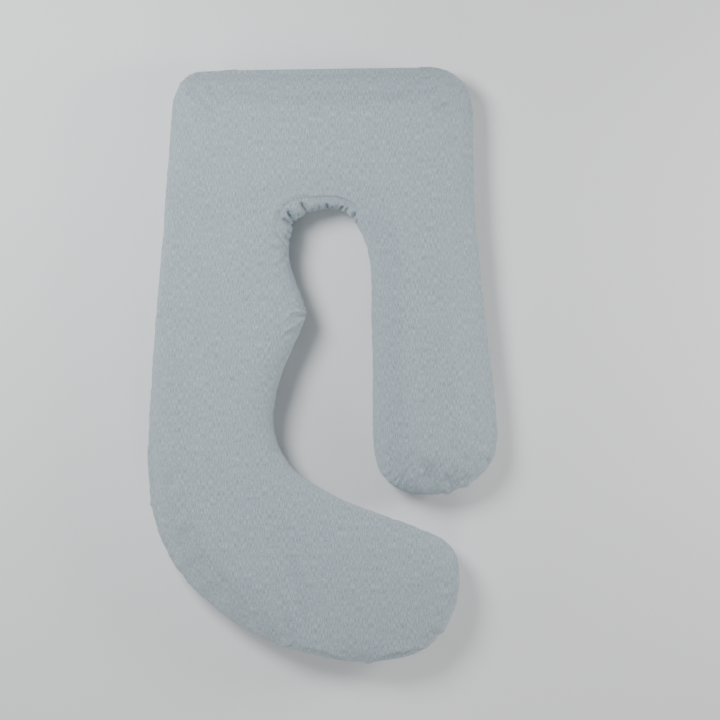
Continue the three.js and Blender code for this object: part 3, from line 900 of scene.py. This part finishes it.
bpy.context.view_layer.update()
for panel, side, name in ((cover_top, 1, "topstitch_upper"), (cover_bottom, -1, "topstitch_lower")):
    level = SEAM_HEIGHT + side * (MOUTH_HALF + STITCH_INSET)
    steps = int(2 * MOUTH_STITCHED / STITCH)
    row = []
    for number in range(steps):
        begin = on_wall(panel, -MOUTH_STITCHED + number * STITCH + STITCH_GAP / 2, level)
        finished = on_wall(panel, -MOUTH_STITCHED + (number + 1) * STITCH - STITCH_GAP / 2, level)
        if begin and finished:
            row.append((begin, finished))
    stitches = stitch_row(name, row, THREAD_RADIUS, thread)
    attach(stitches, "pillow")

# ---- Zip tapes ----
# Two woven polyester tapes in the cover's colour, sewn in behind the two lips of the mouth. They run on past
# the stops and end inside the closed seam.
TAPE_OVERRUN = 0.012
TAPE_THICKNESS = 0.0005
TAPE_RIPPLE = 0.00015
TAPE_BEHIND_WALL = 0.0016
TAPE_STEPS_ALONG = 160
TAPE_STEPS_ACROSS = 6
zip_place = Matrix.Translation(ZIP_MIDDLE) @ Matrix.Rotation(math.atan2(zip_axis.y, zip_axis.x), 4, "Z")

weave, weave_in, weave_out = node_group(
    "woven_threads",
    [
        ("Place", "NodeSocketVector", (0, 0, 0)),
        ("Pitch", "NodeSocketFloat", 0.0006),
        ("Colour A", "NodeSocketColor", (0.5, 0.5, 0.5, 1)),
        ("Colour B", "NodeSocketColor", (0.4, 0.4, 0.4, 1)),
    ],
    [("Color", "NodeSocketColor"), ("Height", "NodeSocketFloat")],
)
split = node(weave, "ShaderNodeSeparateXYZ", {0: weave_in.outputs["Place"]})
warp = maths(weave, "DIVIDE", split.outputs["X"], weave_in.outputs["Pitch"])
weft = maths(weave, "DIVIDE", split.outputs["Z"], weave_in.outputs["Pitch"])
herring = maths(weave, "MULTIPLY", maths(weave, "PINGPONG", weft, 6.0), 0.5)
rib = maths(weave, "SINE", maths(weave, "MULTIPLY", maths(weave, "ADD", warp, herring), 2 * math.pi))
cross = maths(weave, "SINE", maths(weave, "MULTIPLY", weft, 2 * math.pi))
raised_thread = maths(weave, "ADD", maths(weave, "MULTIPLY", rib, 0.3), maths(weave, "MULTIPLY", cross, 0.2))
raised_thread = maths(weave, "ADD", raised_thread, 0.5)
weave.links.new(raised_thread, weave_out.inputs["Height"])
# Painted shade: the colour is dark where the threads lie low and pale where they stand up.
woven = mixed(weave, raised_thread, weave_in.outputs["Colour B"], weave_in.outputs["Colour A"])
weave.links.new(woven, weave_out.inputs["Color"])


# The pale colour goes on the raised threads and the dark one on the low ones, as painted shade between the
# threads.
def woven_cloth(name, pitch, pale, dark, **constants):
    material, tree, shader = finish(name, **constants)
    sockets = {"Place": object_place(tree), "Pitch": pitch, "Colour A": pale, "Colour B": dark}
    cloth = node(tree, "ShaderNodeGroup", sockets, node_tree=weave)
    tree.links.new(cloth.outputs["Color"], shader.inputs["Base Color"])
    tree.links.new(bump(tree, cloth.outputs["Height"], 0.6, 0.0002), shader.inputs["Normal"])
    return material


# The tape's dark colour is painted shade between its threads.
tape_cloth = woven_cloth(
    "zip_tape", 0.0007, (0.42, 0.49, 0.53, 1), (0.27, 0.33, 0.37, 1), Roughness=0.75, Sheen_Weight=0.1
)


def zip_tape(name, node_name, panel):
    low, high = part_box(node_name)
    length = 2 * (np.max(along_zip(np.array([low, high]))) + TAPE_OVERRUN)
    bm = bmesh.new()
    bmesh.ops.create_grid(bm, x_segments=TAPE_STEPS_ALONG, y_segments=TAPE_STEPS_ACROSS, size=0.5)
    bmesh.ops.scale(bm, vec=(length, high.z - low.z, 1), verts=bm.verts)
    bmesh.ops.rotate(bm, matrix=Matrix.Rotation(math.pi / 2, 3, "X"), verts=bm.verts)
    level = (low.z + high.z) / 2 - ZIP_MIDDLE.z
    bmesh.ops.translate(bm, vec=(0, -TAPE_THICKNESS / 2, level), verts=bm.verts)
    for v in bm.verts:
        v.co.y += TAPE_RIPPLE * math.sin(v.co.x * 210 + v.co.z * 90)
        wall = on_wall(panel, v.co.x, ZIP_MIDDLE.z + v.co.z)
        if wall and abs(v.co.z) > MOUTH_HALF:
            v.co.y = min(v.co.y, (wall - ZIP_MIDDLE) @ zip_outward - TAPE_BEHIND_WALL)
    bmesh.ops.smooth_vert(bm, verts=bm.verts, factor=0.5, use_axis_y=True)
    bmesh.ops.solidify(bm, geom=bm.faces[:], thickness=TAPE_THICKNESS)
    bmesh.ops.recalc_face_normals(bm, faces=bm.faces)
    bmesh.ops.transform(bm, matrix=zip_place, verts=bm.verts)
    mesh = bpy.data.meshes.new(name)
    bm.to_mesh(mesh)
    bm.free()
    mesh.materials.append(tape_cloth)
    tape = linked(name, mesh)
    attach(tape, "pillow")
    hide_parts(node_name)


zip_tape("tape_upper", "zip_tape_upper", cover_top)
zip_tape("tape_lower", "zip_tape_lower", cover_bottom)

# ---- Zip coils ----
# Each tape carries a nylon monofilament, wound into a flattened coil and sewn down. The turns of both coils
# interlock head to head along the middle.
COIL_PITCH = 0.0020
COIL_WIRE = 0.00042
COIL_STEPS = 10
WIRE_SIDES = 5
HEAD_OVERLAP = 0.00055
COIL_OUTER = 0.0030
COIL_BACK = 0.00055
COIL_FRONT = 0.00305
COIL_HALF_LENGTH = 0.2205
SEWING_LINE = 0.0022
SEWING_RADIUS = 0.00022
SEWING_STITCH = 0.0018

nylon, tree, shader = finish("nylon_coil", Roughness=0.35, Specular_IOR_Level=0.5, Subsurface_Weight=0.1)
dye = noise_at(tree, object_place(tree), 300, 3, 0.6)
tree.links.new(mixed(tree, dye, (0.36, 0.42, 0.46, 1), (0.45, 0.52, 0.56, 1)), shader.inputs["Base Color"])
tree.links.new(bump(tree, dye, 0.15, 0.0001), shader.inputs["Normal"])


def zip_coil(name, node_name, side, lag):
    across_half = (COIL_OUTER + HEAD_OVERLAP) / 2
    deep_half = (COIL_FRONT - COIL_BACK) / 2
    turns = int(2 * COIL_HALF_LENGTH / COIL_PITCH) - 1
    radius = across_half - COIL_WIRE
    bm = bmesh.new()
    bmesh.ops.create_circle(bm, segments=WIRE_SIDES, radius=COIL_WIRE)
    bmesh.ops.rotate(bm, matrix=Matrix.Rotation(math.pi / 2, 3, "X"), verts=bm.verts)
    bmesh.ops.translate(bm, vec=(0, 0, radius), verts=bm.verts)
    bmesh.ops.spin(
        bm,
        geom=bm.verts[:] + bm.edges[:],
        cent=(0, 0, 0),
        axis=(1, 0, 0),
        dvec=(COIL_PITCH / COIL_STEPS, 0, 0),
        angle=2 * math.pi * turns,
        steps=COIL_STEPS * turns,
        use_merge=False,
    )
    bmesh.ops.holes_fill(bm, edges=[e for e in bm.edges if e.is_boundary], sides=WIRE_SIDES)
    bmesh.ops.scale(bm, vec=(1, deep_half / across_half, side), verts=bm.verts)
    out = (COIL_BACK + COIL_FRONT) / 2
    start = (lag - turns * COIL_PITCH / 2, out, side * (across_half - HEAD_OVERLAP))
    bmesh.ops.translate(bm, vec=start, verts=bm.verts)
    bmesh.ops.recalc_face_normals(bm, faces=bm.faces)
    bmesh.ops.transform(bm, matrix=zip_place, verts=bm.verts)
    mesh = bpy.data.meshes.new(name)
    bm.to_mesh(mesh)
    bm.free()
    shade_smooth(mesh)
    mesh.materials.append(nylon)
    coil = linked(name, mesh)
    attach(coil, "pillow")
    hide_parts(node_name)


zip_coil("coil_upper", "zip_coil_upper", 1, 0)
zip_coil("coil_lower", "zip_coil_lower", -1, COIL_PITCH / 2)

for side, name in ((1, "sewing_upper"), (-1, "sewing_lower")):
    row = []
    for number in range(int(2 * COIL_HALF_LENGTH / COIL_PITCH) - 1):
        begin = Vector((-COIL_HALF_LENGTH + number * COIL_PITCH, COIL_FRONT, side * SEWING_LINE))
        finished = begin + Vector((SEWING_STITCH, 0, 0))
        row.append((zip_place @ begin, zip_place @ finished))
    sewing = stitch_row(name, row, SEWING_RADIUS, thread)
    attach(sewing, "pillow")

# ---- Slider, pull tab and stops ----
# A die-cast slider that runs on the coils, a pull tab that hangs from its crown, and stops pressed on at both
# ends of the coils. All are in satin nickel, with their corners rubbed bright.
wear, wear_in, wear_out = node_group(
    "rubbed_metal",
    [
        ("Place", "NodeSocketVector", (0, 0, 0)),
        ("Plating", "NodeSocketColor", (0.7, 0.7, 0.7, 1)),
        ("Rubbed", "NodeSocketColor", (0.9, 0.9, 0.9, 1)),
    ],
    [("Color", "NodeSocketColor"), ("Roughness", "NodeSocketFloat"), ("Scratches", "NodeSocketFloat")],
)
pointed = node(wear, "ShaderNodeNewGeometry").outputs["Pointiness"]
edge = node(wear, "ShaderNodeMapRange", {"Value": pointed, 1: 0.52, 2: 0.60, 3: 0.0, 4: 1.0}).outputs[0]
grime = noise_at(wear, wear_in.outputs["Place"], 700, 4, 0.6)
scratch = noise_at(wear, stretched_place(wear, wear_in.outputs["Place"], (300, 300, 4500)), 1, 2, 0.5)
metal_colour = mixed(wear, edge, wear_in.outputs["Plating"], wear_in.outputs["Rubbed"])
wear.links.new(metal_colour, wear_out.inputs["Color"])
dull = maths(wear, "ADD", maths(wear, "MULTIPLY", grime, 0.25), 0.2)
dull = maths(wear, "SUBTRACT", dull, maths(wear, "MULTIPLY", edge, 0.1))
wear.links.new(dull, wear_out.inputs["Roughness"])
wear.links.new(scratch, wear_out.inputs["Scratches"])

nickel, tree, shader = finish("satin_nickel", Metallic=1.0)
plating = {"Place": object_place(tree), "Plating": (0.48, 0.49, 0.51, 1), "Rubbed": (0.82, 0.82, 0.82, 1)}
worn = node(tree, "ShaderNodeGroup", plating, node_tree=wear)
tree.links.new(worn.outputs["Color"], shader.inputs["Base Color"])
tree.links.new(worn.outputs["Roughness"], shader.inputs["Roughness"])
tree.links.new(bump(tree, worn.outputs["Scratches"], 0.1, 0.0001), shader.inputs["Normal"])

FLAT_ANGLE = math.radians(2)
SHARP_ANGLE = math.radians(32)


def rounded_metal(name, node_name, body, radius):
    """The CAD piece with its sharp edges rounded."""
    piece = welded_copy(node_name, name)
    bm = bmesh.new()
    bm.from_mesh(piece.data)
    bmesh.ops.dissolve_limit(bm, angle_limit=FLAT_ANGLE, verts=bm.verts, edges=bm.edges)
    sharp = [e for e in bm.edges if e.is_manifold and e.calc_face_angle() > SHARP_ANGLE]
    bmesh.ops.bevel(
        bm,
        geom=sharp,
        offset=radius,
        affect="EDGES",
        segments=3,
        profile=0.5,
        material=-1,
        clamp_overlap=True,
    )
    bmesh.ops.triangulate(bm, faces=bm.faces[:])
    bm.to_mesh(piece.data)
    bm.free()
    shade_smooth(piece.data)
    even_light = piece.modifiers.new("even_light", "WEIGHTED_NORMAL")
    even_light.keep_sharp = True
    piece.data.materials.append(nickel)
    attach(piece, body)
    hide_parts(node_name)


rounded_metal("slider_body", "zip_slider_body", "slider", 0.00035)
rounded_metal("pull_tab", "zip_pull_tab", "pull", 0.00030)
rounded_metal("top_stop_upper", "zip_top_stop_upper", "pillow", 0.00040)
rounded_metal("top_stop_lower", "zip_top_stop_lower", "pillow", 0.00040)
rounded_metal("bottom_stop", "zip_bottom_stop", "pillow", 0.00050)

# ---- Care label ----
# A blank white satin ribbon, folded in two, with both ends caught in the seam. It hangs down the wall and
# its fold stands off a little.
RIBBON_THICKNESS = 0.00018
RIBBON_APART = 0.0007
RIBBON_CURL = 0.0035
RIBBON_ROWS = 24
RIBBON_SHARES = (-1, -0.5, 0, 0.5, 1)
RIBBON_CLEAR = 0.0009
RIBBON_WAVE = 0.0003
RIBBON_TUCK = 0.0035
RIBBON_FOLD = 0.95
RIBBON_BELOW_SEAM = 0.003
RIBBON_STEPS_ACROSS = 14
RIBBON_STEPS_ALONG = 64
label_low, label_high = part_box("care_label")
label_along = ((label_low + label_high) / 2 - ZIP_MIDDLE) @ zip_axis
label_width = label_high.x - label_low.x
label_length = label_high.z - label_low.z

# Each row across the ribbon is straight, and clears the wall that it hangs against.
ribbon_rows = []
for number in range(RIBBON_ROWS + 1):
    height = min(label_high.z - label_length * number / RIBBON_ROWS, SEAM_HEIGHT - RIBBON_BELOW_SEAM)
    row = [on_wall(cover_bottom, label_along + share * label_width / 2, height) for share in RIBBON_SHARES]
    wall = [(point - ZIP_MIDDLE) @ zip_outward for point in row]
    slope = (wall[-1] - wall[0]) / 2
    level = max(out - slope * share for out, share in zip(wall, RIBBON_SHARES))
    ribbon_rows.append((level, slope))
levels, slopes = np.array(ribbon_rows).T


def label_point(share, across):
    """A point of the ribbon in the zip's frame. The share runs from one sewn end to the other."""
    down = 1 - abs(2 * share - 1)
    front = 1 if share < 0.5 else 0
    row = down * RIBBON_ROWS
    rows = range(RIBBON_ROWS + 1)
    wall = np.interp(row, rows, levels) + across * np.interp(row, rows, slopes)
    fold = math.sqrt(max(0, 1 - max(0, (down - RIBBON_FOLD) / (1 - RIBBON_FOLD)) ** 2))
    apart = (front - 0.5) * RIBBON_APART * fold
    curl = RIBBON_CURL * down**2.2 * (1 + 0.25 * math.sin(across * 5))
    tuck = -RIBBON_TUCK * (1 - min(1, down * 8))
    out = wall + RIBBON_CLEAR + curl + tuck + apart + RIBBON_WAVE * math.sin(across * 4 + down * 5)
    level = label_high.z - ZIP_MIDDLE.z - down * label_length
    return Vector((label_along + across * label_width / 2, out, level))


bm = bmesh.new()
bmesh.ops.create_grid(bm, x_segments=RIBBON_STEPS_ACROSS, y_segments=RIBBON_STEPS_ALONG, size=1)
for v in bm.verts:
    v.co = label_point((v.co.y + 1) / 2, v.co.x)
bmesh.ops.solidify(bm, geom=bm.faces[:], thickness=RIBBON_THICKNESS)
bmesh.ops.recalc_face_normals(bm, faces=bm.faces)
bmesh.ops.transform(bm, matrix=zip_place, verts=bm.verts)
ribbon_mesh = bpy.data.meshes.new("label_ribbon")
bm.to_mesh(ribbon_mesh)
bm.free()
shade_smooth(ribbon_mesh)
# The satin's darker colour is painted shade between its threads.
satin = woven_cloth(
    "label_satin", 0.0004, (0.86, 0.86, 0.84, 1), (0.70, 0.70, 0.68, 1), Roughness=0.45, Sheen_Weight=0.1
)
ribbon_mesh.materials.append(satin)
label_ribbon = linked("label_ribbon", ribbon_mesh)
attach(label_ribbon, "pillow")
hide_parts("care_label")
